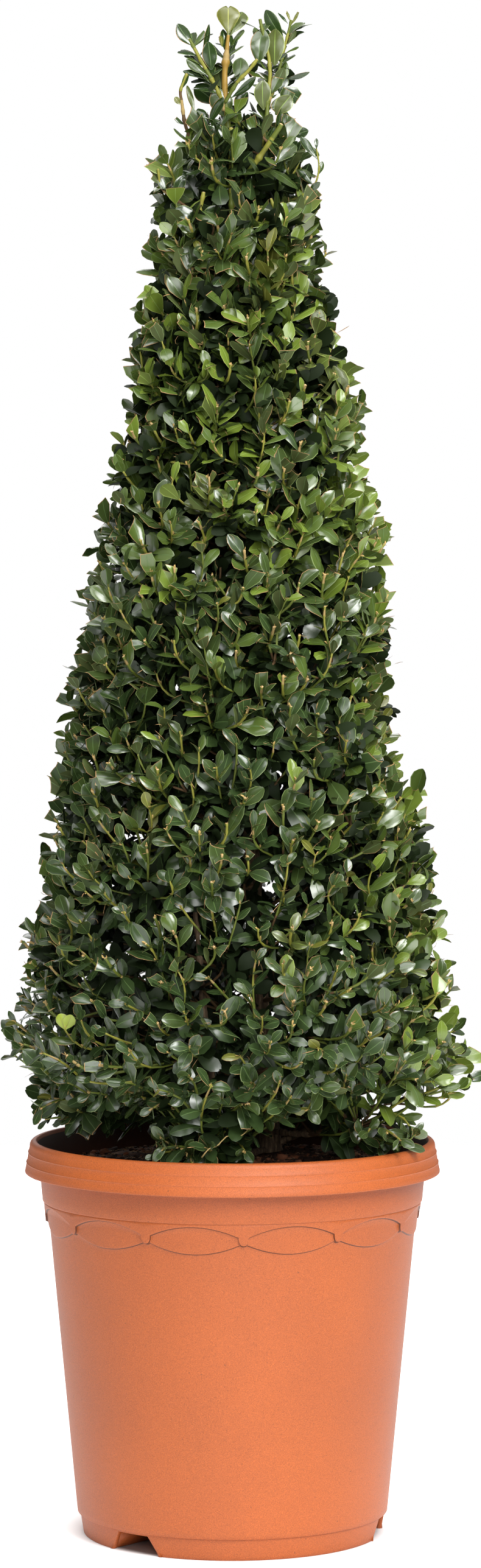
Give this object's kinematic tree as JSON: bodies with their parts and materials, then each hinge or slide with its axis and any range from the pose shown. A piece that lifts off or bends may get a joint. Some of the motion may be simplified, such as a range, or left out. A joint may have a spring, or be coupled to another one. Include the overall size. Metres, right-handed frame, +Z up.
{
  "type": "potted boxwood cone",
  "caption": "Boxwood clipped to a cone, with a loose leafy top and low sprays, growing in a round tapered plastic pot with a deep rim and a scalloped band.",
  "frame": {"origin": "centre of the pot's foot, on the surface the pot stands on; this is also the bottom centre of the whole plant's box, to a few millimetres", "axes": "+Z up the pot's axis, -Y to the front that faces a viewer, +X to the right seen from the front"},
  "size_m": [0.3816, 0.3667, 1.2482],
  "materials": {
    "terracotta_plastic": "satin",
    "potting_soil": "matte",
    "bark": "matte",
    "green_shoot": "satin",
    "box_leaves": "satin"
  },
  "bodies": {
    "root": {"pot": "terracotta_plastic", "soil": "potting_soil", "stem_main": "bark", "stem_front": "bark", "bough_low_right": "bark", "bough_low_left": "bark", "bough_low_back": "bark", "bough_low_front": "bark", "bough_rim_right": "bark", "shoot_top_left": "green_shoot", "shoot_top_right": "green_shoot", "shoot_top_far_right": "green_shoot", "shoot_clipped": "green_shoot", "foliage_cone": "box_leaves", "foliage_neck": "box_leaves", "foliage_tip": "box_leaves", "foliage_top_left": "box_leaves", "foliage_top_right": "box_leaves", "foliage_top_far_right": "box_leaves", "foliage_low_right": "box_leaves", "foliage_low_left": "box_leaves", "foliage_low_back": "box_leaves", "foliage_low_front": "box_leaves", "foliage_rim_right": "box_leaves"}
  },
  "joints": []
}
